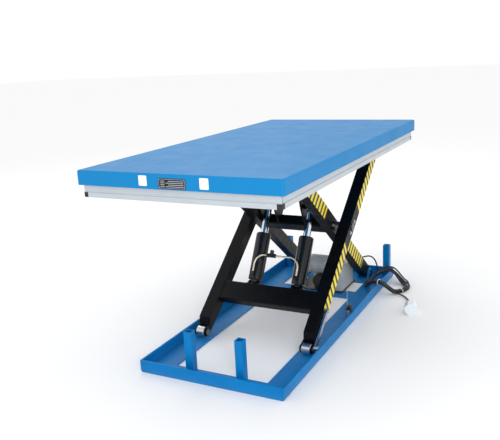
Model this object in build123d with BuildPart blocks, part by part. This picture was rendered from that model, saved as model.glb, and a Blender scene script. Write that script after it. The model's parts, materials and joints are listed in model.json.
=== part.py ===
"""Electric-hydraulic scissor lift table, 2000 x 1000 mm platform, shown a little below full height.

Frame: millimetres, +X along the table from the roller end to the hinged end, +Y to the left, +Z up.
The origin is on the floor, under the middle of the platform. Everything stands as it does at rest.
"""
from build123d import *
from math import asin, cos, degrees, pi, radians, sin, tan
import os

os.makedirs("parts", exist_ok=True)

# ---------------------------------------------------------------- driving dimensions
PLATFORM_L, PLATFORM_W = 2000, 1000
DECK_T = 4            # deck and skirt sheet
SKIRT_H = 66          # deck's folded skirt
BASE_FRONT, BASE_REAR = -830, 930
BASE_W = 770
PLATE_T = 8           # base frame steel
RAIL_H = 62           # rail's outer wall
FLANGE_W = 136        # rail's flat track

ARM_LENGTH = 1550     # between pivot and roller axle
REST_ANGLE = 37.8     # arms' angle to the floor at rest, degrees
PIVOT_X = 850         # both fixed pivots
PIVOT_Z = 38          # lower pivots and base rollers
PIVOT_DROP = 40       # upper pivots below the deck's top
LOWERED_H, RAISED_H = 250, 1300

OUTER_ARM_Y = 340     # outer arm's outer face
OUTER_ARM_W = 67
OUTER_ARM_H = 70
INNER_ARM_Y = 240     # inner arm's outer face
INNER_ARM_W = 56
INNER_ARM_H = 75
ARM_WALL = 6
ARM_END_R = 26
ARM_TAPER = 170

ROLLER_R = 29.7
ROLLER_W = 46
AXLE_R = 12
PIVOT_R = 17
RUN = 0.05            # radial clearance of pins and shafts
GAP = 1.0             # side clearance in forks

C, S = cos(radians(REST_ANGLE)), sin(radians(REST_ANGLE))
ROLLER_X = PIVOT_X - ARM_LENGTH * C
TOP_PIVOT_Z = PIVOT_Z + ARM_LENGTH * S
DECK_TOP = TOP_PIVOT_Z + PIVOT_DROP
DECK_UNDER = DECK_TOP - DECK_T
SKIRT_BOTTOM = DECK_TOP - SKIRT_H
OUTER_MID_Y = OUTER_ARM_Y - OUTER_ARM_W / 2
INNER_MID_Y = INNER_ARM_Y - INNER_ARM_W / 2
SIDES = (1, -1)       # left, right


def save(builder, name):
    """Label a finished piece and write it to its own STEP file."""
    builder.part.label = name
    export_step(builder.part, f"parts/{name}.step")


def side_plane(y, x=0.0, z=0.0):
    """Sketch plane facing -Y, with its x along +X and its y up; extrude goes towards -Y."""
    return Plane(origin=(x, y, z), x_dir=(1, 0, 0), z_dir=(0, -1, 0))


def outer_plane(y, s=0.0):
    """Outer arm's own plane: x runs from the base roller to the upper pivot, y is its upper side."""
    return Plane(origin=(ROLLER_X + s * C, y, PIVOT_Z + s * S), x_dir=(C, 0, S), z_dir=(0, -1, 0))


def inner_plane(y, s=0.0):
    """Inner arm's own plane: x runs from the upper roller to the lower pivot, y is its upper side."""
    return Plane(origin=(ROLLER_X + s * C, y, TOP_PIVOT_Z - s * S), x_dir=(C, 0, -S), z_dir=(0, -1, 0))


def name_side(side):
    return "left" if side > 0 else "right"


# ---------------------------------------------------------------- base frame
WALL_Y = BASE_W / 2 - PLATE_T
FLANGE_IN = BASE_W / 2 - FLANGE_W
BEND_R = 12
ANCHOR_R = 7
ANCHOR_X = (-750, 850)
ANCHOR_Y = 360

for side in SIDES:
    with BuildPart() as rail:
        with BuildSketch(Plane.YZ.offset(BASE_FRONT)):
            with BuildLine():
                Polyline(
                    (side * FLANGE_IN, 0), (side * BASE_W / 2, 0), (side * BASE_W / 2, RAIL_H),
                    (side * WALL_Y, RAIL_H), (side * WALL_Y, PLATE_T), (side * FLANGE_IN, PLATE_T), close=True)
            make_face()
        extrude(amount=BASE_REAR - BASE_FRONT)
        fillet(rail.edges().filter_by(Axis.X).group_by(Axis.Z)[0].sort_by(Axis.Y)[-1 if side > 0 else 0], BEND_R)
        with Locations(*[(x, side * ANCHOR_Y, PLATE_T) for x in ANCHOR_X]):
            Hole(ANCHOR_R)
    save(rail, f"{name_side(side)}_rail")

FRONT_DEPTH = 113
with BuildPart() as front_member:
    with BuildSketch(Plane.XY):
        with Locations((BASE_FRONT + FRONT_DEPTH / 2, 0)):
            Rectangle(FRONT_DEPTH, 2 * FLANGE_IN)
    extrude(amount=PLATE_T)
    with BuildSketch(Plane.XY):
        with Locations((BASE_FRONT + PLATE_T / 2, 0)):
            Rectangle(PLATE_T, 2 * FLANGE_IN)
    extrude(amount=RAIL_H)
    with BuildSketch(Plane.XY.offset(PLATE_T)):
        with Locations((BASE_FRONT + PLATE_T / 2, 0)):
            Rectangle(PLATE_T, 2 * WALL_Y)
    extrude(amount=RAIL_H - PLATE_T)
save(front_member, "front_cross_member")

MIDDLE_PLATE = (436, 547)
REAR_PLATE = (728, BASE_REAR)
with BuildPart() as cross_plates:
    for start, end in (MIDDLE_PLATE, REAR_PLATE):
        with BuildSketch(Plane.XY):
            with Locations(((start + end) / 2, 0)):
                Rectangle(end - start, 2 * FLANGE_IN)
        extrude(amount=PLATE_T)
    with BuildSketch(Plane.XY.offset(PLATE_T)):
        with Locations((BASE_REAR - PLATE_T / 2, 0)):
            Rectangle(PLATE_T, 2 * WALL_Y)
    extrude(amount=RAIL_H - PLATE_T)
save(cross_plates, "cross_plates")

POST_W, POST_WALL, POST_TOP = 40, 4, 222
POSTS = ((-755, 137), (-755, -137), (902, 348), (902, -348))
with BuildPart() as posts:
    with BuildSketch(Plane.XY.offset(PLATE_T)):
        with Locations(*POSTS):
            Rectangle(POST_W, POST_W)
            Rectangle(POST_W - 2 * POST_WALL, POST_W - 2 * POST_WALL, mode=Mode.SUBTRACT)
    extrude(amount=POST_TOP - PLATE_T)
save(posts, "support_posts")

# lugs that hold the inner arms' rear ends, and their pins
LUG_T = 12
LUG_R = 30
LUG_FOOT = 92
with BuildPart() as base_lugs:
    for side in SIDES:
        for y in (INNER_ARM_Y + GAP, INNER_ARM_Y - INNER_ARM_W - GAP - LUG_T):
            outer_y = (y + LUG_T) if side > 0 else -y
            with BuildSketch(side_plane(outer_y)):
                with BuildLine():
                    Polyline((PIVOT_X - LUG_FOOT / 2, PLATE_T), (PIVOT_X + LUG_FOOT / 2, PLATE_T),
                             (PIVOT_X + LUG_R, PIVOT_Z))
                    ThreePointArc((PIVOT_X + LUG_R, PIVOT_Z), (PIVOT_X, PIVOT_Z + LUG_R),
                                  (PIVOT_X - LUG_R, PIVOT_Z))
                    Line((PIVOT_X - LUG_R, PIVOT_Z), (PIVOT_X - LUG_FOOT / 2, PLATE_T))
                make_face()
                with Locations((PIVOT_X, PIVOT_Z)):
                    Circle(PIVOT_R, mode=Mode.SUBTRACT)
            extrude(amount=LUG_T)
save(base_lugs, "base_pivot_lugs")

PIN_HEAD_R, PIN_HEAD_T = 23, 6


def pins(name, x, z, y_outer, y_inner, radius, head=(PIN_HEAD_R, PIN_HEAD_T), inner_head=True, collar=None):
    """A headed pin on each side of the table, from y_outer to y_inner; collar = (radius, y_outer, y_inner)."""
    head_r, head_t = head
    spans = [(radius, y_outer, y_inner), (head_r, y_outer + head_t, y_outer)]
    if inner_head:
        spans.append((head_r, y_inner, y_inner - head_t))
    if collar:
        spans.append(collar)
    with BuildPart() as built:
        for side in SIDES:
            for r, far, near in spans:
                with BuildSketch(side_plane(far if side > 0 else -near, x, z)):
                    Circle(r)
                extrude(amount=far - near)
    save(built, name)


pins("base_pivot_pins", PIVOT_X, PIVOT_Z, INNER_ARM_Y + GAP + LUG_T, INNER_ARM_Y - INNER_ARM_W - GAP - LUG_T,
     PIVOT_R)

# ---------------------------------------------------------------- arms
ROLLER_NOSE_R = 22
PIVOT_NOSE_R = 28
END_FACE = 72         # where the upper side ends and the arm's end face drops
BUSH_WALL = 5
BOSS_WALL = 9
FORK_CHEEK = 9
SLOT_END = ROLLER_R + 8


def polar(radius, angle):
    return radius * cos(radians(angle)), radius * sin(radians(angle))


def arm_outline(half_h, up):
    """Side view of an arm. Its up side (+1 or -1) is whole at the roller and tapered at the far pivot."""
    taper_end = ARM_LENGTH - ARM_TAPER

    def at(*points):
        return [(x, up * y) for x, y in points]

    far = [(ARM_LENGTH + x, y) for x, y in (polar(PIVOT_NOSE_R, a) for a in (-20, 35, 90))]
    near = [polar(ROLLER_NOSE_R, a) for a in (65, 180, 270)]
    with BuildLine() as outline:
        Polyline(*at(near[2], (ARM_TAPER, -half_h), (ARM_LENGTH + 2, -half_h), far[0]))
        ThreePointArc(*at(*far))
        Polyline(*at(far[2], (taper_end, half_h), (END_FACE, half_h), (END_FACE - 24, half_h - 27), near[0]))
        ThreePointArc(*at(*near))
    make_face(outline.edges())


def build_arm(name, plane, side, y_outer, width, height, up, middle_bore, end_bore):
    """A closed box-section arm with a roller fork at its first end and bores for the two pivots."""
    start = y_outer if side > 0 else width - y_outer
    half_cavity = ARM_LENGTH / 2 - ARM_TAPER - middle_bore - BOSS_WALL
    with BuildPart() as arm:
        with BuildSketch(plane(start)):
            arm_outline(height / 2, up)
            with Locations((ARM_LENGTH / 2, 0)):
                Circle(middle_bore, mode=Mode.SUBTRACT)
            with Locations((ARM_LENGTH, 0)):
                Circle(end_bore, mode=Mode.SUBTRACT)
            Circle(AXLE_R, mode=Mode.SUBTRACT)
        extrude(amount=width)
        with BuildSketch(plane(start - ARM_WALL)):
            with Locations((ARM_TAPER + half_cavity / 2, 0), (ARM_LENGTH - ARM_TAPER - half_cavity / 2, 0)):
                Rectangle(half_cavity, height - 2 * ARM_WALL)
        extrude(amount=width - 2 * ARM_WALL, mode=Mode.SUBTRACT)
        with BuildSketch(plane(start - FORK_CHEEK)):
            with Locations((SLOT_END / 2 - 30, 0)):
                Rectangle(SLOT_END + 60, 2 * height)
        extrude(amount=width - 2 * FORK_CHEEK, mode=Mode.SUBTRACT)
    save(arm, name)


BUSH_R = PIVOT_R + BUSH_WALL
for side in SIDES:
    build_arm(f"{name_side(side)}_outer_arm", outer_plane, side, OUTER_ARM_Y, OUTER_ARM_W, OUTER_ARM_H, 1,
              PIVOT_R, PIVOT_R + RUN)
    build_arm(f"{name_side(side)}_inner_arm", inner_plane, side, INNER_ARM_Y, INNER_ARM_W, INNER_ARM_H, -1,
              BUSH_R, BUSH_R)

# bronze bushes pressed into the inner arms at the middle and rear pivots
with BuildPart() as bushes:
    for side in SIDES:
        with BuildSketch(inner_plane(INNER_ARM_Y if side > 0 else INNER_ARM_W - INNER_ARM_Y)):
            with Locations((ARM_LENGTH / 2, 0), (ARM_LENGTH, 0)):
                Circle(BUSH_R)
                Circle(PIVOT_R + RUN, mode=Mode.SUBTRACT)
        extrude(amount=INNER_ARM_W)
save(bushes, "arm_bushes")

# the middle pins' collars keep the two arms of a side apart
CENTRE_X = PIVOT_X - ARM_LENGTH / 2 * C
CENTRE_Z = PIVOT_Z + ARM_LENGTH / 2 * S
OUTER_ARM_IN = OUTER_ARM_Y - OUTER_ARM_W
pins("centre_pivot_pins", CENTRE_X, CENTRE_Z, OUTER_ARM_Y, INNER_ARM_Y - INNER_ARM_W + GAP, PIVOT_R,
     inner_head=False, collar=(PIVOT_R + 9, OUTER_ARM_IN, INNER_ARM_Y + GAP))

# ---------------------------------------------------------------- rollers and their axles
AXLE_HEAD = (17, 4)
SLOT_PLAY = 1.5
for level, z, arm_y, arm_w in (
    ("base", PIVOT_Z, OUTER_ARM_Y, OUTER_ARM_W),
    ("upper", TOP_PIVOT_Z, INNER_ARM_Y, INNER_ARM_W),
):
    roller_w = arm_w - 2 * FORK_CHEEK - 2 * SLOT_PLAY
    outer_y = arm_y - FORK_CHEEK - SLOT_PLAY
    for side in SIDES:
        with BuildPart() as roller:
            with BuildSketch(side_plane(outer_y if side > 0 else roller_w - outer_y, ROLLER_X, z)):
                Circle(ROLLER_R)
                Circle(AXLE_R + RUN, mode=Mode.SUBTRACT)
            extrude(amount=roller_w)
            rims = roller.edges().filter_by(GeomType.CIRCLE).filter_by(lambda e: e.radius > ROLLER_R - 1)
            chamfer(rims, 2)
        save(roller, f"{name_side(side)}_{level}_roller")
    pins(f"{level}_roller_axles", ROLLER_X, z, arm_y, arm_y - arm_w, AXLE_R, AXLE_HEAD)

# ---------------------------------------------------------------- cylinders' pins, beams and brackets
CYL_Y = 131
CYL_ANGLE = 60        # to the floor, at rest
BARREL_TOP = (75.5, 481.5)
PIN_TO_BARREL_TOP = 300
BARREL_TOP_TO_EYE = 175
BARREL_R, ROD_R = 41, 21
EYE_R, EYE_W = 24, 36
CYL_PIN_R = 14
UC, US = cos(radians(CYL_ANGLE)), sin(radians(CYL_ANGLE))
LOWER_PIN = (BARREL_TOP[0] - PIN_TO_BARREL_TOP * UC, BARREL_TOP[1] - PIN_TO_BARREL_TOP * US)
UPPER_PIN = (BARREL_TOP[0] + BARREL_TOP_TO_EYE * UC, BARREL_TOP[1] + BARREL_TOP_TO_EYE * US)


def in_outer_arm(x, z):
    """A point of the XZ plane in the outer arms' own coordinates."""
    return (x - ROLLER_X) * C + (z - PIVOT_Z) * S, (z - PIVOT_Z) * C - (x - ROLLER_X) * S


def in_inner_arm(x, z):
    """A point of the XZ plane in the inner arms' own coordinates."""
    return (x - ROLLER_X) * C - (z - TOP_PIVOT_Z) * S, (z - TOP_PIVOT_Z) * C + (x - ROLLER_X) * S


LOWER_S, LOWER_N = in_outer_arm(*LOWER_PIN)
UPPER_S, UPPER_N = in_inner_arm(*UPPER_PIN)

# lower beam between the outer arms, a closed box with the cylinders' lugs welded behind it
BEAM_START, BEAM_END = 203, 318
BEAM_LOW, BEAM_HIGH = -20, 33
BEAM_WALL = 6
BEAM_SPAN = 2 * OUTER_ARM_IN
LUG_W, LOWER_LUG_R = 12, 27
with BuildPart() as lower_beam:
    with BuildSketch(outer_plane(BEAM_SPAN / 2)):
        with Locations(((BEAM_START + BEAM_END) / 2, (BEAM_LOW + BEAM_HIGH) / 2)):
            RectangleRounded(BEAM_END - BEAM_START, BEAM_HIGH - BEAM_LOW, 5)
            Rectangle(BEAM_END - BEAM_START - 2 * BEAM_WALL, BEAM_HIGH - BEAM_LOW - 2 * BEAM_WALL,
                      mode=Mode.SUBTRACT)
    extrude(amount=BEAM_SPAN)
    for side in SIDES:
        for y in (side * CYL_Y + EYE_W / 2 + GAP + LUG_W, side * CYL_Y - EYE_W / 2 - GAP):
            with BuildSketch(outer_plane(y)):
                with BuildLine():
                    Polyline((LOWER_S, LOWER_N - LOWER_LUG_R), (BEAM_END - 45, BEAM_LOW),
                             (BEAM_END - 45, BEAM_LOW + 5), (BEAM_END - 5, BEAM_LOW + 5),
                             (BEAM_END - 5, BEAM_HIGH - 12), (BEAM_END, BEAM_HIGH - 12),
                             (LOWER_S, LOWER_N + LOWER_LUG_R))
                    ThreePointArc((LOWER_S, LOWER_N + LOWER_LUG_R), (LOWER_S + LOWER_LUG_R, LOWER_N),
                                  (LOWER_S, LOWER_N - LOWER_LUG_R))
                make_face()
                with Locations((LOWER_S, LOWER_N)):
                    Circle(CYL_PIN_R, mode=Mode.SUBTRACT)
            extrude(amount=LUG_W)
save(lower_beam, "lower_beam")

CYL_HALF = EYE_W / 2 + GAP + LUG_W
pins("lower_cylinder_pins", *LOWER_PIN, CYL_Y + CYL_HALF, CYL_Y - CYL_HALF, CYL_PIN_R, (18, 4))

# middle beam between the inner arms, a box open at its ends
MID_BEAM_HALF_L, MID_BEAM_HALF_H = 45, 30
INNER_SPAN = 2 * (INNER_ARM_Y - INNER_ARM_W)
with BuildPart() as middle_beam:
    with BuildSketch(inner_plane(INNER_SPAN / 2)):
        with Locations((ARM_LENGTH / 2, 0)):
            RectangleRounded(2 * MID_BEAM_HALF_L, 2 * MID_BEAM_HALF_H, 6)
            Rectangle(2 * (MID_BEAM_HALF_L - BEAM_WALL), 2 * (MID_BEAM_HALF_H - BEAM_WALL), mode=Mode.SUBTRACT)
    extrude(amount=INNER_SPAN)
save(middle_beam, "middle_beam")

# brackets on that beam: two plates astride each rod's eye, each with a pin stub that stops short of it
BRACKET_T = 10
PLATE_Y = (88, INNER_SPAN / 2)    # outer faces of the two plates
STUB_END = 22                     # from the rod's centre line
BRACKET_BACK = ARM_LENGTH / 2 - MID_BEAM_HALF_L
BRACKET = ((BRACKET_BACK, -28), (BRACKET_BACK - 70, -8), (BRACKET_BACK - 118, 18), (575, 44), (575, 72),
           (602, 93), (690, 93), (BRACKET_BACK, 55))
with BuildPart() as brackets:
    for side in SIDES:
        for y in PLATE_Y:
            with BuildSketch(inner_plane(y if side > 0 else BRACKET_T - y)):
                with BuildLine():
                    Polyline(*BRACKET, close=True)
                make_face()
            extrude(amount=BRACKET_T)
        for far, near in ((PLATE_Y[1] - BRACKET_T, CYL_Y + STUB_END), (CYL_Y - STUB_END, PLATE_Y[0])):
            with BuildSketch(side_plane(far if side > 0 else -near, *UPPER_PIN)):
                Circle(CYL_PIN_R)
            extrude(amount=far - near)
        far = PLATE_Y[0] - BRACKET_T
        with BuildSketch(side_plane(far if side > 0 else 5 - far, *UPPER_PIN)):
            Circle(CYL_PIN_R + 5)
        extrude(amount=5)
save(brackets, "upper_brackets")

# round ties that keep each pair of arms parallel near the platform
TIE_R, TIE_WALL = 14, 4
FRONT_TIE_S = 190
REAR_TIE_S = 1440
for name, plane, along, span in (
    ("front_tie", inner_plane, FRONT_TIE_S, INNER_SPAN),
    ("rear_tie", outer_plane, REAR_TIE_S, BEAM_SPAN),
):
    with BuildPart() as tie:
        with BuildSketch(plane(span / 2)):
            with Locations((along, 0)):
                Circle(TIE_R)
                Circle(TIE_R - TIE_WALL, mode=Mode.SUBTRACT)
        extrude(amount=span)
    save(tie, name)

# ---------------------------------------------------------------- hydraulic cylinders
ALONG = Vector(UC, 0, US)       # cylinders' direction
FRONT = Vector(-US, 0, UC)      # square to it, towards the table's front


def by_cylinder(y, along, front=0.0):
    """A point at a distance above the lower pins and in front of the cylinders' centre lines."""
    return Vector(LOWER_PIN[0], y, LOWER_PIN[1]) + ALONG * along + FRONT * front


def across(side, along):
    """Sketch plane square to a cylinder."""
    return Plane(origin=by_cylinder(side * CYL_Y, along), x_dir=(0, 1, 0), z_dir=ALONG)


BARREL_FOOT = 30
BORE_R, BORE_FOOT = 32, 50
GLAND_H = 22
PORT_AT, PORT_R, PORT_OUT = 58, 11, 20
for side in SIDES:
    eye_y = side * CYL_Y + EYE_W / 2
    with BuildPart() as barrel:
        with BuildSketch(across(side, BARREL_FOOT)):
            Circle(BARREL_R)
        extrude(amount=PIN_TO_BARREL_TOP - GLAND_H - BARREL_FOOT)
        with BuildSketch(across(side, BORE_FOOT)):
            Circle(BORE_R)
        extrude(amount=PIN_TO_BARREL_TOP - GLAND_H - BORE_FOOT, mode=Mode.SUBTRACT)
        with BuildSketch(side_plane(eye_y, *LOWER_PIN)):
            Circle(EYE_R)
        extrude(amount=EYE_W)
        with BuildSketch(across(side, EYE_R - 8)):
            Rectangle(EYE_W, 2 * EYE_R - 10)
        extrude(amount=BARREL_FOOT - EYE_R + 8)
        with BuildSketch(side_plane(eye_y, *LOWER_PIN)):
            Circle(CYL_PIN_R + RUN)
        extrude(amount=EYE_W, mode=Mode.SUBTRACT)
        with BuildSketch(Plane(origin=by_cylinder(side * CYL_Y, PORT_AT, BORE_R + 4), z_dir=FRONT)):
            Circle(PORT_R)
        extrude(amount=BARREL_R + PORT_OUT - BORE_R - 4)
    save(barrel, f"{name_side(side)}_barrel")

with BuildPart() as glands:
    for side in SIDES:
        for along, height, radius in ((PIN_TO_BARREL_TOP - GLAND_H, GLAND_H - 5, BARREL_R),
                                      (PIN_TO_BARREL_TOP - 5, 5, BARREL_R - 5)):
            with BuildSketch(across(side, along)):
                Circle(radius)
                Circle(ROD_R + RUN, mode=Mode.SUBTRACT)
            extrude(amount=height)
save(glands, "rod_glands")

PISTON_AT, PISTON_H = 192.5, 18
EYE_AT = PIN_TO_BARREL_TOP + BARREL_TOP_TO_EYE
for side in SIDES:
    with BuildPart() as rod:
        with BuildSketch(across(side, PISTON_AT)):
            Circle(ROD_R)
        extrude(amount=EYE_AT - EYE_R + 6 - PISTON_AT)
        with BuildSketch(across(side, PISTON_AT)):
            Circle(BORE_R - 0.5)
        extrude(amount=PISTON_H)
        with BuildSketch(side_plane(side * CYL_Y + EYE_W / 2, *UPPER_PIN)):
            Circle(EYE_R)
        extrude(amount=EYE_W)
    save(rod, f"{name_side(side)}_rod")

# steel pipe between the barrels' ports, broken by a tee
PIPE_R = 5
PIPE_FRONT = BARREL_R + PORT_OUT - 8
PIPE_UP = 166
PIPE_BEND = 56
TEE_Y, TEE_W, TEE_R = 35, 52, 12
with BuildPart() as pipe:
    for side in SIDES:
        start = by_cylinder(side * CYL_Y, PORT_AT + PORT_R, PIPE_FRONT)
        corner = by_cylinder(side * CYL_Y, PIPE_UP, PIPE_FRONT)
        finish = by_cylinder(TEE_Y + side * TEE_W / 2, PIPE_UP, PIPE_FRONT)
        with BuildLine() as path:
            FilletPolyline(start, corner, finish, radius=PIPE_BEND)
        with BuildSketch(Plane(origin=start, z_dir=ALONG)):
            Circle(PIPE_R)
        sweep(path=path.wires()[0])
save(pipe, "oil_pipe")

with BuildPart() as tee:
    with BuildSketch(Plane(origin=by_cylinder(TEE_Y - TEE_W / 2, PIPE_UP, PIPE_FRONT), z_dir=(0, 1, 0))):
        RegularPolygon(TEE_R, 6)
    extrude(amount=TEE_W)
    with BuildSketch(Plane(origin=by_cylinder(TEE_Y, PIPE_UP, PIPE_FRONT), z_dir=ALONG)):
        RegularPolygon(TEE_R - 1, 6)
    extrude(amount=30)
save(tee, "pipe_tee")

# ---------------------------------------------------------------- platform
EDGE_R, CORNER_R = 9, 12
with BuildPart() as deck:
    with BuildSketch(Plane.XY.offset(SKIRT_BOTTOM)):
        RectangleRounded(PLATFORM_L, PLATFORM_W, CORNER_R)
    extrude(amount=SKIRT_H)
    fillet(deck.faces().sort_by(Axis.Z)[-1].edges(), EDGE_R)
    with BuildSketch(Plane.XY.offset(SKIRT_BOTTOM)):
        RectangleRounded(PLATFORM_L - 2 * DECK_T, PLATFORM_W - 2 * DECK_T, CORNER_R - DECK_T)
    extrude(amount=SKIRT_H - DECK_T, mode=Mode.SUBTRACT)
save(deck, "deck")

# channels welded under the deck, open downwards
RIB_H, RIB_W, RIB_WALL = 30, 40, 4
RIB_LENGTH = PLATFORM_L - 120
RIBS_Y = (0, 410, -410)
CROSS_RIBS_X = (-860, 120, 420)
with BuildPart() as stiffeners:
    for shrink, height, mode in ((0, RIB_H, Mode.ADD), (2 * RIB_WALL, RIB_H - RIB_WALL, Mode.SUBTRACT)):
        with BuildSketch(Plane.XY.offset(DECK_UNDER - RIB_H)):
            with Locations(*[(0, y) for y in RIBS_Y]):
                Rectangle(RIB_LENGTH - shrink, RIB_W - shrink)
            with Locations(*[(x, 0) for x in CROSS_RIBS_X]):
                Rectangle(RIB_W - shrink, 2 * RIBS_Y[1])
        extrude(amount=height, mode=mode)
save(stiffeners, "deck_stiffeners")

TRACK_T = 6
TRACK_X = (-800, -10)
TRACK_IN, TRACK_OUT, TRACK_LEG = 176, 256, 34
with BuildPart() as tracks:
    for side in SIDES:
        with BuildSketch(Plane.YZ.offset(TRACK_X[0])):
            for inner, depth in ((TRACK_IN, TRACK_T), (TRACK_OUT - TRACK_T, TRACK_LEG)):
                with Locations((side * (inner + TRACK_OUT) / 2, DECK_UNDER - depth / 2)):
                    Rectangle(TRACK_OUT - inner, depth)
        extrude(amount=TRACK_X[1] - TRACK_X[0])
save(tracks, "roller_tracks")

TOP_LUG_R, TOP_LUG_FOOT = 28, 60
with BuildPart() as top_lugs:
    for side in SIDES:
        for far in (OUTER_ARM_Y + GAP + LUG_T, OUTER_ARM_IN - GAP):
            with BuildSketch(side_plane(far if side > 0 else LUG_T - far)):
                with BuildLine():
                    Polyline((PIVOT_X + TOP_LUG_R, TOP_PIVOT_Z), (PIVOT_X + TOP_LUG_FOOT / 2, DECK_UNDER),
                             (PIVOT_X - TOP_LUG_FOOT / 2, DECK_UNDER), (PIVOT_X - TOP_LUG_R, TOP_PIVOT_Z))
                    ThreePointArc((PIVOT_X - TOP_LUG_R, TOP_PIVOT_Z), (PIVOT_X, TOP_PIVOT_Z - TOP_LUG_R),
                                  (PIVOT_X + TOP_LUG_R, TOP_PIVOT_Z))
                make_face()
                with Locations((PIVOT_X, TOP_PIVOT_Z)):
                    Circle(PIVOT_R, mode=Mode.SUBTRACT)
            extrude(amount=LUG_T)
save(top_lugs, "platform_lugs")
pins("platform_pivot_pins", PIVOT_X, TOP_PIVOT_Z, OUTER_ARM_Y + GAP + LUG_T, OUTER_ARM_IN - GAP - LUG_T, PIVOT_R)

with BuildPart() as plate:
    with BuildSketch(Plane(origin=(-PLATFORM_L / 2, 0, DECK_TOP - 40), x_dir=(0, -1, 0), z_dir=(-1, 0, 0))):
        RectangleRounded(132, 44, 3)
    extrude(amount=1)
save(plate, "nameplate")

# ---------------------------------------------------------------- safety trip bar under the platform's edge
BAR_INSET = 17
BAR_BOTTOM = SKIRT_BOTTOM - 57
BAR_TOP = SKIRT_BOTTOM + 12
BAR_STEP_Z = BAR_BOTTOM + 22     # the lower band stands proud of the upper one
BAR_STEP = 3
BAR_T = 14
BAR_WALL = 3          # it is a hollow extrusion
LIP_T, LIP_W = 4, 30
LIP_Z = BAR_TOP - 26
CORNER_L = 24
HALF_L = PLATFORM_L / 2 - BAR_INSET
HALF_W = PLATFORM_W / 2 - BAR_INSET
BOLT_R = 4
BOLT_INSET = BAR_T + LIP_W / 2
END_BOLTS = [(sign * (HALF_L - BOLT_INSET), y) for sign in SIDES for y in (-300, 300)]
SIDE_BOLTS = [(x, sign * (HALF_W - BOLT_INSET)) for sign in SIDES for x in (-700, 0, 700)]


def bar_wall(edge, sign):
    """Section of the trip bar's wall, with its stepped outer face."""
    for near, far, low, high in (
        (edge - BAR_T, edge, BAR_BOTTOM, BAR_STEP_Z),
        (edge - BAR_T, edge - BAR_STEP, BAR_STEP_Z, BAR_TOP),
    ):
        with Locations((sign * (near + far) / 2, (low + high) / 2)):
            Rectangle(far - near, high - low)
    hollow = BAR_T - BAR_STEP - 2 * BAR_WALL
    with Locations((sign * (edge - BAR_T + BAR_WALL + hollow / 2), (BAR_BOTTOM + BAR_TOP) / 2)):
        Rectangle(hollow, BAR_TOP - BAR_BOTTOM - 2 * BAR_WALL, mode=Mode.SUBTRACT)


def upper_wall(edge, sign):
    """Section of the trip bar above its step, as bar_wall has it."""
    with Locations((sign * (2 * edge - BAR_T - BAR_STEP) / 2, (BAR_STEP_Z + BAR_TOP) / 2)):
        Rectangle(BAR_T - BAR_STEP, BAR_TOP - BAR_STEP_Z)
    hollow = BAR_T - BAR_STEP - 2 * BAR_WALL
    with Locations((sign * (edge - BAR_T + BAR_WALL + hollow / 2), (BAR_STEP_Z + BAR_TOP - BAR_WALL) / 2)):
        Rectangle(hollow, BAR_TOP - BAR_WALL - BAR_STEP_Z, mode=Mode.SUBTRACT)


# the upper band meets at the corners; below it the black corner pieces join the bars
for name, across_plane, edge, half_length, half_upper, half_lip, places in (
    ("end_trip_bars", Plane.XZ, HALF_L, HALF_W - CORNER_L, HALF_W - BAR_STEP, HALF_W - BAR_T - LIP_W - 1,
     END_BOLTS),
    ("side_trip_bars", Plane.YZ, HALF_W, HALF_L - CORNER_L, HALF_L - BAR_T - 0.5, HALF_L - CORNER_L, SIDE_BOLTS),
):
    with BuildPart() as bars:
        with BuildSketch(across_plane):
            for sign in SIDES:
                bar_wall(edge, sign)
        extrude(amount=half_length, both=True)
        with BuildSketch(across_plane):
            for sign in SIDES:
                upper_wall(edge, sign)
        extrude(amount=half_upper, both=True)
        with BuildSketch(across_plane):
            with Locations(*[(sign * (edge - BAR_T - LIP_W / 2), LIP_Z + LIP_T / 2) for sign in SIDES]):
                Rectangle(LIP_W, LIP_T)
        extrude(amount=half_lip, both=True)
        with Locations(*[(x, y, LIP_Z) for x, y in places]):
            Hole(BOLT_R + 1)
    save(bars, name)

with BuildPart() as corners:
    with BuildSketch(Plane.XY.offset(BAR_BOTTOM)):
        RectangleRounded(2 * HALF_L, 2 * HALF_W, 6)
        Rectangle(2 * (HALF_L - BAR_T), 2 * (HALF_W - BAR_T), mode=Mode.SUBTRACT)
        Rectangle(2 * (HALF_L - CORNER_L), 2 * HALF_W, mode=Mode.SUBTRACT)
        Rectangle(2 * HALF_L, 2 * (HALF_W - CORNER_L), mode=Mode.SUBTRACT)
    extrude(amount=BAR_STEP_Z - BAR_BOTTOM)
save(corners, "trip_bar_corners")

# bolts hang from the deck; the bar's lips rest on their heads and can rise
BOLT_HEAD_R, BOLT_HEAD_H = 8, 5
HEAD_TOP = LIP_Z - 0.2
with BuildPart() as bolts:
    for low, high, radius in ((HEAD_TOP - BOLT_HEAD_H, HEAD_TOP, BOLT_HEAD_R), (HEAD_TOP, DECK_UNDER, BOLT_R)):
        with BuildSketch(Plane.XY.offset(low)):
            with Locations(*(END_BOLTS + SIDE_BOLTS)):
                Circle(radius)
        extrude(amount=high - low)
save(bolts, "trip_bar_bolts")

# ---------------------------------------------------------------- power pack
PACK_X, PACK_Y = (490, 760), (-180, 124)
PACK_Z = PLATE_T + 6
with BuildPart() as pack_plate:
    with BuildSketch(Plane.XY.offset(PLATE_T)):
        with Locations((sum(PACK_X) / 2, sum(PACK_Y) / 2)):
            Rectangle(PACK_X[1] - PACK_X[0], PACK_Y[1] - PACK_Y[0])
    extrude(amount=PACK_Z - PLATE_T)
save(pack_plate, "power_pack_plate")

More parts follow.
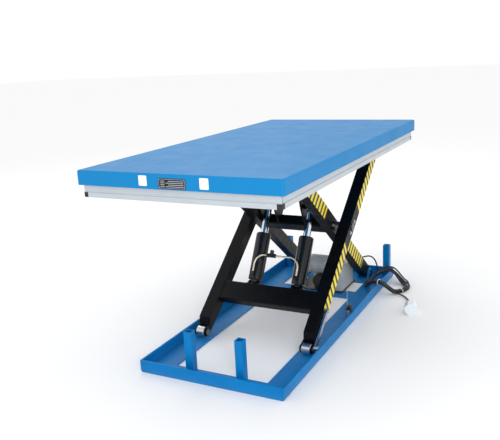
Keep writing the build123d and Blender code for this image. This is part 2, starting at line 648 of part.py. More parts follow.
TANK_X, TANK_Y, TANK_TOP = (516, 723), (-176, -84), 170
with BuildPart() as tank:
    with BuildSketch(Plane.XY.offset(PACK_Z)):
        with Locations((sum(TANK_X) / 2, sum(TANK_Y) / 2)):
            RectangleRounded(TANK_X[1] - TANK_X[0], TANK_Y[1] - TANK_Y[0], 8)
    extrude(amount=TANK_TOP - PACK_Z)
    fillet(tank.faces().sort_by(Axis.Z)[-1].edges(), 5)
save(tank, "oil_tank")

CAP_AT = (592, -148)
with BuildPart() as cap:
    for low, height, radius in ((TANK_TOP, 6, 13), (TANK_TOP + 6, 14, 18)):
        with BuildSketch(Plane.XY.offset(low)):
            with Locations(CAP_AT):
                Circle(radius)
        extrude(amount=height)
    chamfer(cap.faces().sort_by(Axis.Z)[-1].edges(), 3)
save(cap, "tank_cap")

MOTOR_X, MOTOR_Z, MOTOR_R = 605, 148, 60
MOTOR_Y = (-50, 48)
BLOCK_TOP = 190
with BuildPart() as block:
    with BuildSketch(Plane.XY.offset(PACK_Z)):
        with Locations((MOTOR_X, (TANK_Y[1] + MOTOR_Y[0]) / 2)):
            Rectangle(110, MOTOR_Y[0] - TANK_Y[1])
    extrude(amount=BLOCK_TOP - PACK_Z)
    chamfer(block.faces().sort_by(Axis.Z)[-1].edges().filter_by(Axis.Y), 4)
save(block, "pump_block")

FINS, FIN_H, FIN_T = 24, 6, 3
with BuildPart() as motor:
    with BuildSketch(side_plane(MOTOR_Y[1], MOTOR_X, MOTOR_Z)):
        Circle(MOTOR_R - FIN_H)
        with PolarLocations(MOTOR_R - FIN_H, FINS):
            Rectangle(2 * FIN_H, FIN_T)
    extrude(amount=MOTOR_Y[1] - MOTOR_Y[0])
    with BuildSketch(Plane.XY.offset(PACK_Z)):
        with Locations((MOTOR_X, 0)):
            Rectangle(90, 60)
    extrude(amount=MOTOR_Z - MOTOR_R + 10 - PACK_Z)
save(motor, "motor")

FAN_DEPTH, FAN_SHEET = 34, 3
with BuildPart() as fan_cover:
    with BuildSketch(side_plane(MOTOR_Y[1] + FAN_DEPTH, MOTOR_X, MOTOR_Z)):
        Circle(MOTOR_R)
    extrude(amount=FAN_DEPTH)
    fillet(fan_cover.faces().sort_by(Axis.Y)[-1].edges(), 16)
    with BuildSketch(side_plane(MOTOR_Y[1] + FAN_DEPTH - FAN_SHEET, MOTOR_X, MOTOR_Z)):
        Circle(MOTOR_R - 18)
    extrude(amount=FAN_DEPTH - FAN_SHEET, mode=Mode.SUBTRACT)
save(fan_cover, "motor_fan_cover")

PUMP_X, PUMP_Y, PUMP_Z, PUMP_R = (500, 548), -22, 68, 42
with BuildPart() as pump:
    with BuildSketch(Plane.YZ.offset(PUMP_X[0])):
        with Locations((PUMP_Y, PUMP_Z)):
            Circle(PUMP_R)
    extrude(amount=PUMP_X[1] - PUMP_X[0])
    fillet(pump.faces().sort_by(Axis.X)[0].edges(), 10)
    with BuildSketch(Plane.YZ.offset(PUMP_X[0] + 14)):
        with Locations((PUMP_Y, (PACK_Z + PUMP_Z) / 2)):
            Rectangle(52, PUMP_Z - PACK_Z)
    extrude(amount=PUMP_X[1] - PUMP_X[0] - 14)
save(pump, "pump_cover")

VALVE_AT = (MOTOR_X + 28, (TANK_Y[1] + MOTOR_Y[0]) / 2)
with BuildPart() as valve:
    with BuildSketch(Plane.XY.offset(BLOCK_TOP)):
        with Locations(VALVE_AT):
            Rectangle(28, 28)
    extrude(amount=20)
    with BuildSketch(Plane.XY.offset(BLOCK_TOP + 20)):
        with Locations(VALVE_AT):
            Circle(7)
    extrude(amount=6)
save(valve, "lowering_valve")

# ---------------------------------------------------------------- limit switch on the right rail
SWITCH_X, SWITCH_Y, SWITCH_TOP = 108, (-375, -342), 96
with BuildPart() as switch:
    with BuildSketch(Plane.XY.offset(PLATE_T)):
        with Locations((SWITCH_X, sum(SWITCH_Y) / 2)):
            RectangleRounded(30, SWITCH_Y[1] - SWITCH_Y[0], 3)
    extrude(amount=SWITCH_TOP - 18 - PLATE_T)
    with BuildSketch(Plane.XY.offset(SWITCH_TOP - 18)):
        with Locations((SWITCH_X, SWITCH_Y[0] + 12)):
            Rectangle(20, 18)
    extrude(amount=18)
save(switch, "limit_switch")

LEVER_Y, LEVER_Z, LEVER_R, HUB_W = -349.5, SWITCH_TOP - 9, 2.5, 7
with BuildPart() as lever:
    with BuildSketch(side_plane(LEVER_Y + HUB_W / 2, SWITCH_X, LEVER_Z)):
        Circle(8)
    extrude(amount=HUB_W)
    with BuildSketch(Plane.XY.offset(LEVER_Z)):
        with Locations((SWITCH_X, LEVER_Y)):
            Circle(LEVER_R)
    extrude(amount=98)
save(lever, "switch_lever")

# ---------------------------------------------------------------- maintenance prop on the right outer arm
PROP_END, PROP_HINGE = 6, 224
PROP_N = 10
PROP_OFF = 5          # clear of the axle's head
PROP_T, PROP_H = 10, 24
PROP_PIN_R = 6
PROP_IN = OUTER_ARM_Y + PROP_OFF
PROP_FACE = PROP_IN + PROP_T
with BuildPart() as prop:
    with BuildSketch(outer_plane(-PROP_IN)):
        with Locations(((PROP_END + PROP_HINGE) / 2, PROP_N)):
            SlotCenterToCenter(PROP_HINGE - PROP_END, PROP_H)
        with Locations((PROP_HINGE, PROP_N)):
            Circle(PROP_PIN_R + RUN, mode=Mode.SUBTRACT)
    extrude(amount=PROP_T)
    with BuildSketch(outer_plane(-PROP_FACE)):
        with Locations((PROP_END, PROP_N)):
            Circle(11)
    extrude(amount=14)
    fillet(prop.faces().sort_by(Axis.Y)[0].edges(), 4)
save(prop, "safety_prop")

with BuildPart() as prop_pin:
    for start, radius, length in ((OUTER_ARM_Y, PROP_PIN_R + 4, PROP_OFF - GAP),
                                  (OUTER_ARM_Y, PROP_PIN_R, PROP_OFF + PROP_T + GAP),
                                  (PROP_FACE + GAP, 10, 5)):
        with BuildSketch(outer_plane(-start)):
            with Locations((PROP_HINGE, PROP_N)):
                Circle(radius)
        extrude(amount=length)
save(prop_pin, "prop_pin")

# ---------------------------------------------------------------- supply cable, coil and plug
CABLE_R = 4.5
COIL_AT = (712, -405)
COIL_OUT, COIL_IN, COIL_H = 148, 100, 30
WALL_TOP = RAIL_H + 2
BED = ((-245, PLATE_T + 1), (-285, PLATE_T + 1), (-345, WALL_TOP - 4), (-370, WALL_TOP), (-392, WALL_TOP),
       (-415, WALL_TOP - 4), (-478, 1), (-560, 1))
with BuildPart() as coil:
    with BuildSketch(Plane.XY):
        with Locations(COIL_AT):
            Circle(COIL_OUT)
            Circle(COIL_IN, mode=Mode.SUBTRACT)
    extrude(amount=2 * WALL_TOP)
    with BuildSketch(Plane.YZ.offset(COIL_AT[0] - COIL_OUT - 10)):
        with BuildLine():
            Polyline(*BED, *[(y, z + COIL_H) for y, z in reversed(BED)], close=True)
        make_face()
    extrude(amount=2 * COIL_OUT + 20, mode=Mode.INTERSECT)
save(coil, "cable_coil")


def lay_tube(name, points, radius):
    """A round tube along straight runs joined by arcs as large as the runs allow; prints the radii."""
    points = [Vector(*p) for p in points]
    runs = [b - a for a, b in zip(points, points[1:])]
    radii = []
    for before, after in zip(runs, runs[1:]):
        turn = radians(before.get_angle(after))
        radii.append(0.45 * min(before.length, after.length) / tan(turn / 2))
    with BuildPart() as tube:
        with BuildLine() as path:
            FilletPolyline(*points, radius=radii)
        with BuildSketch(Plane(origin=points[0], z_dir=runs[0])):
            Circle(radius)
        sweep(path=path.wires()[0])
    length = path.wires()[0].length
    ratio = tube.part.volume / (pi * radius ** 2 * length)
    print(name, "length", round(length), "radii", [round(r) for r in radii], "volume ratio", round(ratio, 4))
    save(tube, name)


GLAND_AT = (PACK_X[1] - 35, -40, 110)
BOX_HALF, GLAND_OUT = 20, 16
with BuildPart() as gland_box:
    with BuildSketch(Plane.XY.offset(PACK_Z)):
        with Locations((GLAND_AT[0], GLAND_AT[1])):
            Rectangle(2 * BOX_HALF, 70)
    extrude(amount=130 - PACK_Z)
    with BuildSketch(Plane.YZ.offset(GLAND_AT[0] + BOX_HALF)):
        with Locations(GLAND_AT[1:]):
            Circle(10)
    extrude(amount=GLAND_OUT)
save(gland_box, "terminal_box")

lay_tube("power_cable", (
    (GLAND_AT[0] + BOX_HALF + GLAND_OUT + 0.5, GLAND_AT[1], GLAND_AT[2]), (802, -40, 110), (838, -66, 108),
    (868, -106, 108), (886, -152, 114), (893, -198, 130), (895, -240, 140), (893, -272, 116), (884, -288, 78),
    (866, -300, 48), (838, -317, 34)), CABLE_R)

PLUG_ANGLE, PLUG_R, NECK_R = 195, 34, 18
AWAY = Vector(*polar(1, PLUG_ANGLE), 0)
CABLE_END = Vector(398, -632, PLUG_R)
lay_tube("plug_cable", (
    (609, -515, 14), (576, -548, 9), (534, -580, 6), (484, -606, 14), CABLE_END - AWAY * 40, CABLE_END), CABLE_R)

with BuildPart() as plug:
    for start, length, radius in ((0.5, 28, NECK_R), (28.5, 62, PLUG_R)):
        with BuildSketch(Plane(origin=CABLE_END + AWAY * start, x_dir=(0, 0, 1), z_dir=AWAY)):
            RegularPolygon(radius, 8, major_radius=False, rotation=22.5)
        extrude(amount=length)
save(plug, "power_plug")
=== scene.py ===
"""Looks of the electric-hydraulic scissor lift table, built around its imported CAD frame."""

import json
from math import cos, pi, radians, sin

import bpy
from mathutils import Matrix, Vector


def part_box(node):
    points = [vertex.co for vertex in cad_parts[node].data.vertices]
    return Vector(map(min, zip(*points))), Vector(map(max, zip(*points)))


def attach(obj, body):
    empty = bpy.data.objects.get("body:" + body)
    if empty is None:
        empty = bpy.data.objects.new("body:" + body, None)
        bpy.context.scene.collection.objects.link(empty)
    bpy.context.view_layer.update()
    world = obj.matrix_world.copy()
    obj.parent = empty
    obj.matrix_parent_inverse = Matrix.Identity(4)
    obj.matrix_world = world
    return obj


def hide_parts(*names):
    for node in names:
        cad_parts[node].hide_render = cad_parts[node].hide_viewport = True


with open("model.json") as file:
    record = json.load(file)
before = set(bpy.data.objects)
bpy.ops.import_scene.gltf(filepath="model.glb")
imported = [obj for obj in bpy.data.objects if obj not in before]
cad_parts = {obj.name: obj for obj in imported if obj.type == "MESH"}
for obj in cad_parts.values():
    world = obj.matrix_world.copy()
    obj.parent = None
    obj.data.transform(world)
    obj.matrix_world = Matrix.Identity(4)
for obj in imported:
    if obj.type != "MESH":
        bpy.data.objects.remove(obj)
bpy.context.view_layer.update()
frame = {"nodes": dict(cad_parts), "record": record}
UP = Vector((0, 0, 1))

# ---------------------------------------------------------------- camera
CAMERA_AT = (-3.2132, -1.5187, 1.4939)
CAMERA_AZIMUTH, CAMERA_DOWN, CAMERA_ROLL = 27.83, 14.17, -2.96
LENS = 48.05


def make_camera():
    turn, down, roll = (radians(a) for a in (CAMERA_AZIMUTH, CAMERA_DOWN, CAMERA_ROLL))
    forward = Vector((cos(turn) * cos(down), sin(turn) * cos(down), -sin(down)))
    level = forward.cross(UP).normalized()
    right = level * cos(roll) + level.cross(forward) * sin(roll)
    axes = Matrix((right, right.cross(forward), -forward)).transposed()
    data = bpy.data.cameras.new("camera")
    data.lens = LENS
    data.sensor_width = 36
    camera = bpy.data.objects.new("camera", data)
    camera.matrix_world = Matrix.Translation(CAMERA_AT) @ axes.to_4x4()
    bpy.context.scene.collection.objects.link(camera)
    bpy.context.scene.camera = camera


make_camera()


# ---------------------------------------------------------------- materials
SCUFF_FROM, SCUFF_FADE = 0.66, 0.06
NOISE_LOW, NOISE_HIGH = 0.3, 0.7
COAT_ROUGHNESS = 0.08
GRAIN_DEPTH = 0.0004


def linear(rgb):
    """0-255 display colour as linear RGBA."""
    return tuple((c / 255 / 12.92) if c < 10.3 else ((c / 255 + 0.055) / 1.055) ** 2.4 for c in rgb) + (1.0,)


def scaled(rgba, k):
    return tuple(min(1.0, c * k) for c in rgba[:3]) + (1.0,)


def finish(name, rgb, rough, metal=0.0, coat=0.0, vary=0.08, vary_scale=6.0, rough_vary=0.08, grain=0.1,
           grain_scale=700.0, stretch=(1, 1, 1), wear=None, dust=None, shine=0.5):
    """A procedural finish: mottled colour and roughness, fine grain, optional scuffs and dust."""
    material = bpy.data.materials.new(name)
    material.use_nodes = True
    tree = material.node_tree
    add, link = tree.nodes.new, tree.links.new
    shader = tree.nodes["Principled BSDF"]
    shader.inputs["Metallic"].default_value = metal
    shader.inputs["Coat Weight"].default_value = coat
    shader.inputs["Coat Roughness"].default_value = COAT_ROUGHNESS
    shader.inputs["Specular IOR Level"].default_value = shine
    place = add("ShaderNodeTexCoord")
    mapping = add("ShaderNodeMapping")
    mapping.inputs["Scale"].default_value = stretch
    link(place.outputs["Object"], mapping.inputs["Vector"])

    def noise(scale, detail, rough_in=0.55):
        node = add("ShaderNodeTexNoise")
        node.inputs["Scale"].default_value = scale
        node.inputs["Detail"].default_value = detail
        node.inputs["Roughness"].default_value = rough_in
        link(mapping.outputs["Vector"], node.inputs["Vector"])
        return node

    mottle = noise(vary_scale, 5)
    ramp = add("ShaderNodeValToRGB")
    base = linear(rgb)
    ramp.color_ramp.elements[0].position = NOISE_LOW
    ramp.color_ramp.elements[0].color = scaled(base, 1 - vary)
    ramp.color_ramp.elements[1].position = NOISE_HIGH
    ramp.color_ramp.elements[1].color = scaled(base, 1 + vary)
    link(mottle.outputs["Fac"], ramp.inputs["Fac"])
    colour = ramp.outputs["Color"]
    if wear:
        scuffs = noise(wear[1], 8, 0.7)
        mask = add("ShaderNodeMapRange")
        mask.inputs["From Min"].default_value = SCUFF_FROM
        mask.inputs["From Max"].default_value = SCUFF_FROM + SCUFF_FADE
        mask.inputs["To Max"].default_value = wear[2]
        link(scuffs.outputs["Fac"], mask.inputs["Value"])
        colour = mixed(tree, colour, linear(wear[0]), mask.outputs["Result"])
    if dust:
        height = add("ShaderNodeSeparateXYZ")
        link(place.outputs["Object"], height.inputs["Vector"])
        fade = add("ShaderNodeMapRange")
        fade.inputs["From Min"].default_value = dust[1]
        fade.inputs["From Max"].default_value = 0.0
        fade.inputs["To Max"].default_value = dust[2]
        link(height.outputs["Z"], fade.inputs["Value"])
        colour = mixed(tree, colour, linear(dust[0]), fade.outputs["Result"])
    link(colour, shader.inputs["Base Color"])
    uneven = add("ShaderNodeMapRange")
    uneven.inputs["From Min"].default_value = NOISE_LOW
    uneven.inputs["From Max"].default_value = NOISE_HIGH
    uneven.inputs["To Min"].default_value = max(0.02, rough - rough_vary)
    uneven.inputs["To Max"].default_value = rough + rough_vary
    link(noise(vary_scale * 3, 4).outputs["Fac"], uneven.inputs["Value"])
    link(uneven.outputs["Result"], shader.inputs["Roughness"])
    bump = add("ShaderNodeBump")
    bump.inputs["Strength"].default_value = grain
    bump.inputs["Distance"].default_value = GRAIN_DEPTH
    link(noise(grain_scale, 2).outputs["Fac"], bump.inputs["Height"])
    link(bump.outputs["Normal"], shader.inputs["Normal"])
    return material


def mixed(tree, colour, other, share):
    """Node output of colour mixed with a fixed other colour by share."""
    node = tree.nodes.new("ShaderNodeMix")
    node.data_type = "RGBA"
    tree.links.new(share, node.inputs[0])
    tree.links.new(colour, node.inputs[6])
    node.inputs[7].default_value = other
    return node.outputs[2]


SCUFF = ((120, 125, 130), 26, 0.35)
FINISHES = {
    "frame_blue": finish("frame_blue", (0, 118, 186), 0.36, shine=0.12, vary=0.1,
                         wear=((60, 150, 205), 30, 0.4), grain=0.12, grain_scale=420,
                         dust=((110, 140, 160), 0.04, 0.12)),
    "deck_blue": finish("deck_blue", (20, 128, 190), 0.42, shine=0.12, vary=0.022, vary_scale=3,
                        rough_vary=0.04, grain=0.14, grain_scale=520, wear=((60, 150, 205), 40, 0.12)),
    "arm_black": finish("arm_black", (6, 6, 8), 0.42, shine=0.16, vary=0.25, vary_scale=9, grain=0.16,
                        grain_scale=480, wear=((70, 68, 66), 34, 0.45)),
    "cylinder_black": finish("cylinder_black", (12, 14, 20), 0.26, coat=0.2, shine=0.3, vary=0.15,
                             grain=0.05),
    "rod_chrome": finish("rod_chrome", (225, 228, 232), 0.09, metal=1.0, vary=0.03, rough_vary=0.03,
                         grain=0.03, grain_scale=1500),
    "bright_steel": finish("bright_steel", (190, 192, 195), 0.28, metal=1.0, vary=0.12, vary_scale=40,
                           grain=0.12, stretch=(1, 14, 1), grain_scale=900),
    "pin_steel": finish("pin_steel", (120, 120, 122), 0.36, metal=1.0, vary=0.15, vary_scale=50,
                        grain=0.12),
    "bush_bronze": finish("bush_bronze", (176, 140, 84), 0.35, metal=1.0, vary=0.12, vary_scale=60,
                          grain=0.08),
    "pipe_zinc": finish("pipe_zinc", (222, 216, 192), 0.25, metal=0.75, vary=0.08, vary_scale=50,
                        grain=0.05),
    "fitting_black": finish("fitting_black", (30, 30, 32), 0.42, metal=0.4, vary=0.15, vary_scale=60,
                            grain=0.1),
    "bar_aluminium": finish("bar_aluminium", (190, 197, 204), 0.38, metal=0.35, vary=0.04, vary_scale=8,
                            grain=0.06, grain_scale=1200),
    "black_plastic": finish("black_plastic", (26, 26, 28), 0.5, vary=0.1, vary_scale=30, grain=0.3,
                            grain_scale=900),
    "lever_steel": finish("lever_steel", (170, 172, 175), 0.3, metal=1.0, vary=0.1, vary_scale=80,
                          grain=0.05),
    "plate_black": finish("plate_black", (30, 31, 34), 0.45, vary=0.15, grain=0.15, wear=SCUFF),
    "motor_grey": finish("motor_grey", (182, 187, 190), 0.4, metal=0.05, vary=0.08, vary_scale=18,
                         grain=0.25, grain_scale=380, wear=((110, 108, 104), 40, 0.5)),
    "cap_yellow": finish("cap_yellow", (206, 192, 96), 0.45, vary=0.06, vary_scale=60, grain=0.15),
    "valve_metal": finish("valve_metal", (188, 190, 194), 0.3, metal=0.9, vary=0.08, vary_scale=60,
                          grain=0.06),
    "nameplate_black": finish("nameplate_black", (22, 24, 30), 0.35, metal=0.3, vary=0.1, vary_scale=60,
                              grain=0.05),
    "cable_black": finish("cable_black", (20, 20, 22), 0.5, vary=0.15, vary_scale=30, grain=0.2,
                          grain_scale=800),
    "plug_white": finish("plug_white", (232, 238, 244), 0.28, coat=0.3, vary=0.02, vary_scale=40,
                         grain=0.06),
}
TAPE_YELLOW = finish("tape_yellow", (246, 222, 18), 0.4, vary=0.07, vary_scale=18, grain=0.1, grain_scale=500)
TAPE_DARK = finish("tape_dark", (38, 16, 20), 0.45, vary=0.2, vary_scale=25, grain=0.1, grain_scale=500)
LABEL_WHITE = finish("label_white", (238, 240, 242), 0.4, vary=0.02, vary_scale=60, grain=0.05)
TIE_WHITE = finish("tie_white", (228, 230, 232), 0.4, vary=0.04, vary_scale=90, grain=0.08)
ZINC = finish("zinc_bolts", (206, 208, 206), 0.25, metal=1.0, vary=0.1, vary_scale=90, grain=0.08)
SILVER_PRINT = finish("silver_print", (196, 200, 206), 0.35, metal=0.6, vary=0.05, vary_scale=90, grain=0.04)

for part in frame["record"]["subparts"]:
    slots = frame["nodes"][part["node"]].data.materials
    slots.clear()
    slots.append(FINISHES[part["material_slot"]])


# ---------------------------------------------------------------- mesh helpers
def mesh_object(name, points, faces, materials, indices=None, smooth=False):
    mesh = bpy.data.meshes.new(name)
    mesh.from_pydata([tuple(p) for p in points], [], faces)
    for material in materials:
        mesh.materials.append(material)
    if indices:
        mesh.polygons.foreach_set("material_index", indices)
    mesh.polygons.foreach_set("use_smooth", [smooth] * len(faces))
    mesh.update()
    made = bpy.data.objects.new(name, mesh)
    bpy.context.scene.collection.objects.link(made)
    return made


class Shell:
    """Collects closed shapes into one mesh."""

    def __init__(self):
        self.points, self.faces, self.indices = [], [], []

    def loops(self, rings, material=0, cyclic=False):
        """Skin over rings of equal size; the ends are capped unless cyclic."""
        start, size = len(self.points), len(rings[0])
        for ring in rings:
            self.points += [Vector(p) for p in ring]
        spans = len(rings) if cyclic else len(rings) - 1
        made = []
        for i in range(spans):
            a, b = start + i * size, start + (i + 1) % len(rings) * size
            made += [(a + j, a + (j + 1) % size, b + (j + 1) % size, b + j) for j in range(size)]
        if not cyclic:
            made.append(tuple(reversed(range(start, start + size))))
            made.append(tuple(range(start + (len(rings) - 1) * size, start + len(rings) * size)))
        self.faces += made
        self.indices += [material] * len(made)

    def lathe(self, at, axis, profile, sides=24, turn=0.0, material=0):
        """Rings along axis from at; profile is (distance along, radius) pairs."""
        axis = Vector(axis).normalized()
        across = axis.orthogonal().normalized()
        beside = axis.cross(across)
        angles = [turn + 2 * pi * j / sides for j in range(sides)]
        self.loops([[Vector(at) + axis * d + (across * cos(a) + beside * sin(a)) * r for a in angles]
                    for d, r in profile], material)

    def make(self, name, *materials, smooth=False):
        return mesh_object(name, self.points, self.faces, materials, self.indices, smooth)


# ---------------------------------------------------------------- supply cable, coil and plug
CABLE_D = 0.009
GLAND_TIP = (0.7615, -0.040, 0.110)
LEAD_IN = (GLAND_TIP, (0.802, -0.040, 0.110), (0.838, -0.066, 0.108), (0.868, -0.106, 0.108),
           (0.886, -0.152, 0.114), (0.893, -0.198, 0.130), (0.895, -0.240, 0.140), (0.893, -0.272, 0.116),
           (0.884, -0.288, 0.078), (0.866, -0.300, 0.048), (0.838, -0.317, 0.040))
LEAD_OUT = ((0.586, -0.466, 0.026), (0.592, -0.508, 0.012), (0.576, -0.548, 0.008), (0.534, -0.580, 0.006),
            (0.484, -0.606, 0.014), (0.4366, -0.6216, 0.034), (0.398, -0.632, 0.034))
COIL_AT = (0.712, -0.405)
COIL_R = 0.126
BED = ((-0.560, 0.001), (-0.478, 0.001), (-0.415, 0.060), (-0.392, 0.064), (-0.370, 0.064), (-0.345, 0.060),
       (-0.285, 0.009), (-0.245, 0.009))
# places of the turns in the bundle: radial offset, layer
STACK = ((0.0145, 0), (0.0048, 0), (-0.0048, 0), (-0.0145, 0), (-0.0097, 1), (0.0, 1), (0.0097, 1),
         (0.0150, 1))
COIL_FROM, COIL_LAST, TURNS = 48, 140, 6
POINTS_PER_TURN = 30
FAN_AT, FAN_POWER, FAN_RAMP = 350, 1.5, 1.5
FAN_SPREAD, FAN_WAVE, FAN_IN, FAN_LIFT = 1.5, 0.007, 0.005, 0.012
LAYER_CHANGE = 0.3
COIL_CLEARANCE = 0.003


def bed_height(y):
    """What the coil lies on: base frame, the rail's wall and the floor."""
    for (y0, z0), (y1, z1) in zip(BED, BED[1:]):
        if y <= y1:
            return z0 + (z1 - z0) * max(0.0, (y - y0) / (y1 - y0))
    return BED[-1][1]


def coil_points():
    """Turns side by side and in two layers, tight at the ties and fanned out on the far side."""
    count = round(POINTS_PER_TURN * (TURNS + COIL_LAST / 360))
    for i in range(count + 1):
        done = i / POINTS_PER_TURN
        turn, share = int(done), done % 1.0
        angle = radians(COIL_FROM + 360 * done)
        (near, low), (far, high) = STACK[turn], STACK[turn + 1]
        layer = low + (high - low) * min(1.0, share / LAYER_CHANGE)
        fan = max(0.0, cos(angle - radians(FAN_AT))) ** FAN_POWER * min(1.0, FAN_RAMP * done)
        offset = (near + (far - near) * share) * (1 + FAN_SPREAD * fan) + FAN_WAVE * fan * sin(2.3 * turn + 1)
        radius = COIL_R - FAN_IN * fan + offset
        x, y = COIL_AT[0] + radius * cos(angle), COIL_AT[1] + radius * sin(angle)
        lift = COIL_CLEARANCE + CABLE_D * layer + FAN_LIFT * fan * (turn % 3) / 2
        yield x, y, bed_height(y) + CABLE_D / 2 + lift


def smooth_curve(name, points, diameter, material):
    data = bpy.data.curves.new(name, "CURVE")
    data.dimensions = "3D"
    data.bevel_depth = diameter / 2
    data.bevel_resolution = 4
    data.use_fill_caps = True
    spline = data.splines.new("NURBS")
    spline.points.add(len(points) - 1)
    for target, point in zip(spline.points, points):
        target.co = (*point, 1.0)
    spline.order_u = 3
    spline.use_endpoint_u = True
    spline.resolution_u = 5
    data.materials.append(material)
    made = bpy.data.objects.new(name, data)
    bpy.context.scene.collection.objects.link(made)
    return made


def gland_sleeve():
    """Ribbed, tapered strain relief on the first 37.5 mm of the cable."""
    shell = Shell()
    profile = [(0.0, 0.0092), (0.004, 0.0096), (0.007, 0.0090)]
    ribs, start, length = 6, 0.009, 0.028
    for i in range(ribs):
        at = start + length * i / ribs
        radius = 0.0084 - 0.0026 * i / ribs
        profile += [(at, radius), (at + 0.0028, radius - 0.0001), (at + 0.0034, radius - 0.0008),
                    (at + 0.0042, radius - 0.0008)]
    profile.append((0.0375, 0.0050))
    shell.lathe(GLAND_TIP, (1, 0, 0), profile, 28)
    return shell.make("cable_strain_relief", FINISHES["black_plastic"], smooth=True)


def cable_ties():
    """Flat ties drawn round the coil's bundle."""
    shell = Shell()
    half_w, half_h, band, thick, corner = 0.0215, 0.0125, 0.0038, 0.0012, 0.008
    for degrees_round in (236, 172):
        angle = radians(degrees_round)
        out = Vector((cos(angle), sin(angle), 0))
        along = Vector((-sin(angle), cos(angle), 0))
        x, y = COIL_AT[0] + COIL_R * cos(angle), COIL_AT[1] + COIL_R * sin(angle)
        middle = Vector((x, y, bed_height(y) + 0.0135))
        rings = []
        for k in range(4):
            sign_x, sign_z = ((1, 1), (-1, 1), (-1, -1), (1, -1))[k]
            for step in range(5):
                a = pi / 2 * (k + step / 4)
                radial = Vector((cos(a), sin(a), 0))
                p = middle + out * (sign_x * (half_w - corner)) + UP * (sign_z * (half_h - corner))
                normal = out * radial.x + UP * radial.y
                inner, outer = p + normal * corner, p + normal * (corner + thick)
                rings.append([inner - along * band / 2, inner + along * band / 2,
                              outer + along * band / 2, outer - along * band / 2])
        shell.loops(rings, cyclic=True)
        head = middle + UP * (half_h + thick / 2) + out * 0.004
        shell.lathe(head, UP, [(-0.001, 0.0038), (0.004, 0.0038), (0.005, 0.0032)], 4, pi / 4)
    return shell.make("cable_ties", TIE_WHITE)


cable = smooth_curve("supply_cable", [*LEAD_IN, *coil_points(), *LEAD_OUT], CABLE_D, FINISHES["cable_black"])
sleeve = gland_sleeve()
ties = cable_ties()
for piece, slot in ((cable, "cable_black"), (sleeve, "black_plastic"), (ties, None)):
    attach(piece, "base")
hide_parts("power_cable", "cable_coil", "plug_cable")

# ---------------------------------------------------------------- arms' own coordinates, as in the CAD
REST = radians(37.8)
C, S = cos(REST), sin(REST)
PIVOT_X, PIVOT_Z, ARM_LENGTH = 0.850, 0.038, 1.550
ROLLER_X = PIVOT_X - ARM_LENGTH * C
TOP_Z = PIVOT_Z + ARM_LENGTH * S
OUTER_FACE, INNER_FACE = 0.340, 0.240
OUTER_HALF, INNER_HALF = 0.035, 0.0375


def on_outer(s, n, y):
    """A point of the outer arms: s from the base roller towards the platform, n towards the upper side."""
    return Vector((ROLLER_X + s * C - n * S, y, PIVOT_Z + s * S + n * C))


def on_inner(s, n, y):
    """A point of the inner arms: s from the upper roller towards the base pivot."""
    return Vector((ROLLER_X + s * C + n * S, y, TOP_Z - s * S + n * C))


# ---------------------------------------------------------------- hazard tape on the arms' outer sides
TAPE_PERIOD, TAPE_DARK_SHARE, TAPE_SLANT, TAPE_T = 0.044, 0.44, 0.014, 0.0004


def add_tape(shell, place, face_y, half, start, end):
    """Bars across one tape, each a thin closed slab stuck on the arm's side."""
    edges = [start]
    while edges[-1] < end - 0.004:
        width = TAPE_PERIOD * (TAPE_DARK_SHARE if len(edges) % 2 == 0 else 1 - TAPE_DARK_SHARE)
        edges.append(min(end, edges[-1] + width))
    for side in (1, -1):
        for k, (a, b) in enumerate(zip(edges, edges[1:])):
            rings = [[place(s + TAPE_SLANT * n / half / 2, n, side * (face_y + off))
                      for s, n in ((a, -half), (b, -half), (b, half), (a, half))] for off in (0.0, TAPE_T)]
            if side < 0:
                rings.reverse()
            shell.loops(rings, k % 2)


def make_tapes():
    for name, place, face_y, half, spans, body in (
        ("outer_arm_tapes", on_outer, OUTER_FACE, OUTER_HALF - 0.001, ((0.220, 0.636), (0.915, 1.500)),
         "outer_arms"),
        ("inner_arm_tapes", on_inner, INNER_FACE, INNER_HALF - 0.001, ((0.317, 0.600), (1.060, 1.376)),
         "inner_arms"),
    ):
        shell = Shell()
        for start, end in spans:
            add_tape(shell, place, face_y, half, start, end)
        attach(shell.make(name, TAPE_YELLOW, TAPE_DARK), body)


make_tapes()


# ---------------------------------------------------------------- bolts
def add_bolt(shell, at, axis, radius=0.009, washer=1.55):
    """A washer and a chamfered hexagon head."""
    shell.lathe(at, axis, [(0, radius * washer), (0.0018, radius * washer)], 24)
    top = 0.0018 + radius * 0.75
    shell.lathe(at, axis, [(0.0018, radius), (top - 0.0015, radius), (top, radius * 0.86)], 6)


def make_arm_fittings():
    """Bolts by the middle pivot on the inner arms, bolts and grease nipples on the outer ones."""
    shell = Shell()
    for side in (1, -1):
        for s, n in ((0.735, -0.012), (0.815, 0.010)):
            add_bolt(shell, on_inner(s, n, side * INNER_FACE), (0, side, 0), 0.007)
    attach(shell.make("inner_arm_bolts", ZINC), "inner_arms")
    shell = Shell()
    for side in (1, -1):
        for s in (0.735, 0.815):
            add_bolt(shell, on_outer(s, 0.0, side * OUTER_FACE), (0, side, 0), 0.007)
        nipple = on_outer(ARM_LENGTH / 2, 0.0, side * (OUTER_FACE + 0.006))
        shell.lathe(nipple, (0, side, 0), [(0, 0.005), (0.003, 0.005), (0.0035, 0.003), (0.008, 0.0032),
                                           (0.010, 0.0022)], 12)
    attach(shell.make("outer_arm_fittings", ZINC), "outer_arms")


make_arm_fittings()


# ---------------------------------------------------------------- labels and nameplate
SKIRT_END_X = -1.000
LABEL_T = 0.0004
PRINT_T, PRINT_CORNER = 0.0003, 0.0002


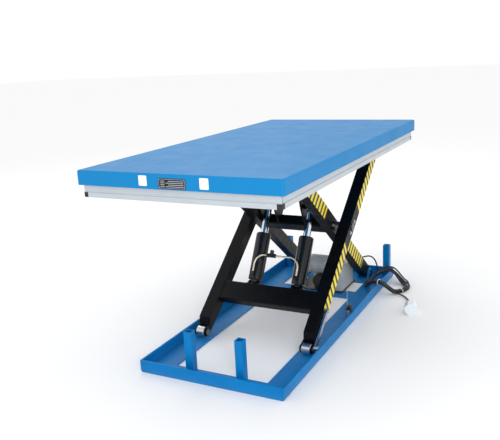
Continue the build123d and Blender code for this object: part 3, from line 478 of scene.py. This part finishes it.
def slab(shell, x, y_range, z_range, thick, material=0, corner=0.003):
    """A thin plate on the platform's end skirt, with cut corners."""
    (y0, y1), (z0, z1) = y_range, z_range
    outline = [(y0 + corner, z0), (y1 - corner, z0), (y1, z0 + corner), (y1, z1 - corner),
               (y1 - corner, z1), (y0 + corner, z1), (y0, z1 - corner), (y0, z0 + corner)]
    rings = [[(at, y, z) for y, z in outline] for at in (x, x - thick)]
    shell.loops(rings, material)


def make_labels():
    """Blank labels on the end skirt, and the nameplate's plain rules and rivets."""
    shell = Shell()
    slab(shell, SKIRT_END_X, (0.124, 0.165), (0.974, 1.018), LABEL_T)
    slab(shell, SKIRT_END_X, (-0.174, -0.132), (0.972, 1.018), LABEL_T)
    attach(shell.make("blank_labels", LABEL_WHITE), "platform")
    low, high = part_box("nameplate")
    face = low.x
    shell = Shell()
    inset, line = 0.003, 0.0012
    y0, y1, z0, z1 = low.y + inset, high.y - inset, low.z + inset, high.z - inset
    for ys, zs in (((y0, y1), (z1 - line, z1)), ((y0, y1), (z0, z0 + line)),
                   ((y0, y0 + line), (z0, z1)), ((y1 - line, y1), (z0, z1))):
        slab(shell, face, ys, zs, PRINT_T, corner=PRINT_CORNER)
    for row in range(4):
        z = z0 + 0.006 + row * 0.0075
        slab(shell, face, (y0 + 0.006, y1 - 0.034 - 0.012 * (row % 2)), (z, z + 0.0022), PRINT_T,
             corner=PRINT_CORNER)
        slab(shell, face, (y1 - 0.028, y1 - 0.008), (z, z + 0.0022), PRINT_T, corner=PRINT_CORNER)
    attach(shell.make("nameplate_rules", SILVER_PRINT), "platform")
    shell = Shell()
    for y in (low.y + 0.005, high.y - 0.005):
        for z in (low.z + 0.005, high.z - 0.005):
            shell.lathe((face, y, z), (-1, 0, 0), [(0, 0.0022), (0.0006, 0.0020), (0.001, 0.0012)], 12)
    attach(shell.make("nameplate_rivets", ZINC), "platform")


make_labels()


# ---------------------------------------------------------------- limit switch's mounting plate
def make_switch_plate():
    """Zinc plate and screws on the switch's front side."""
    low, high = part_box("limit_switch")
    plate_t, inset = 0.0015, 0.003
    y0, y1, z0, z1 = low.y + inset, high.y - inset, 0.012, 0.074
    shell = Shell()
    slab(shell, low.x, (y0, y1), (z0, z1), plate_t)
    middle = (y0 + y1) / 2
    for z in (z0 + 0.010, z1 - 0.010):
        add_bolt(shell, (low.x - plate_t, middle, z), (-1, 0, 0), 0.003)
    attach(shell.make("switch_plate", ZINC), "base")


make_switch_plate()


# ---------------------------------------------------------------- floor and light
FLOOR_HALF = 40


def floor_material():
    material = bpy.data.materials.new("floor")
    material.use_nodes = True
    shader = material.node_tree.nodes["Principled BSDF"]
    shader.inputs["Base Color"].default_value = (0.95, 0.95, 0.95, 1)
    shader.inputs["Roughness"].default_value = 0.9
    return material


def make_stage():
    """White floor, even white world and three soft lamps."""
    half = FLOOR_HALF
    floor = mesh_object("floor", [(-half, -half, 0), (half, -half, 0), (half, half, 0), (-half, half, 0)],
                        [(0, 1, 2, 3)], [floor_material()])
    world = bpy.data.worlds.new("studio")
    world.use_nodes = True
    world.node_tree.nodes["Background"].inputs["Color"].default_value = (1, 1, 1, 1)
    world.node_tree.nodes["Background"].inputs["Strength"].default_value = 1.0
    bpy.context.scene.world = world
    for name, at, size, power in (
        ("key", (-3.3, -2.0, 1.8), 1.0, 34),
        ("fill", (-4.0, 2.5, 3.5), 2.5, 8),
        ("rear", (3.0, 2.5, 4.5), 3.0, 40),
    ):
        data = bpy.data.lights.new(name, "AREA")
        data.size = size
        data.energy = power
        lamp = bpy.data.objects.new(name, data)
        lamp.location = at
        lamp.rotation_euler = (Vector((0, 0, 0.5)) - Vector(at)).to_track_quat("-Z", "Y").to_euler()
        bpy.context.scene.collection.objects.link(lamp)


make_stage()
bpy.context.scene.view_settings.view_transform = "Standard"
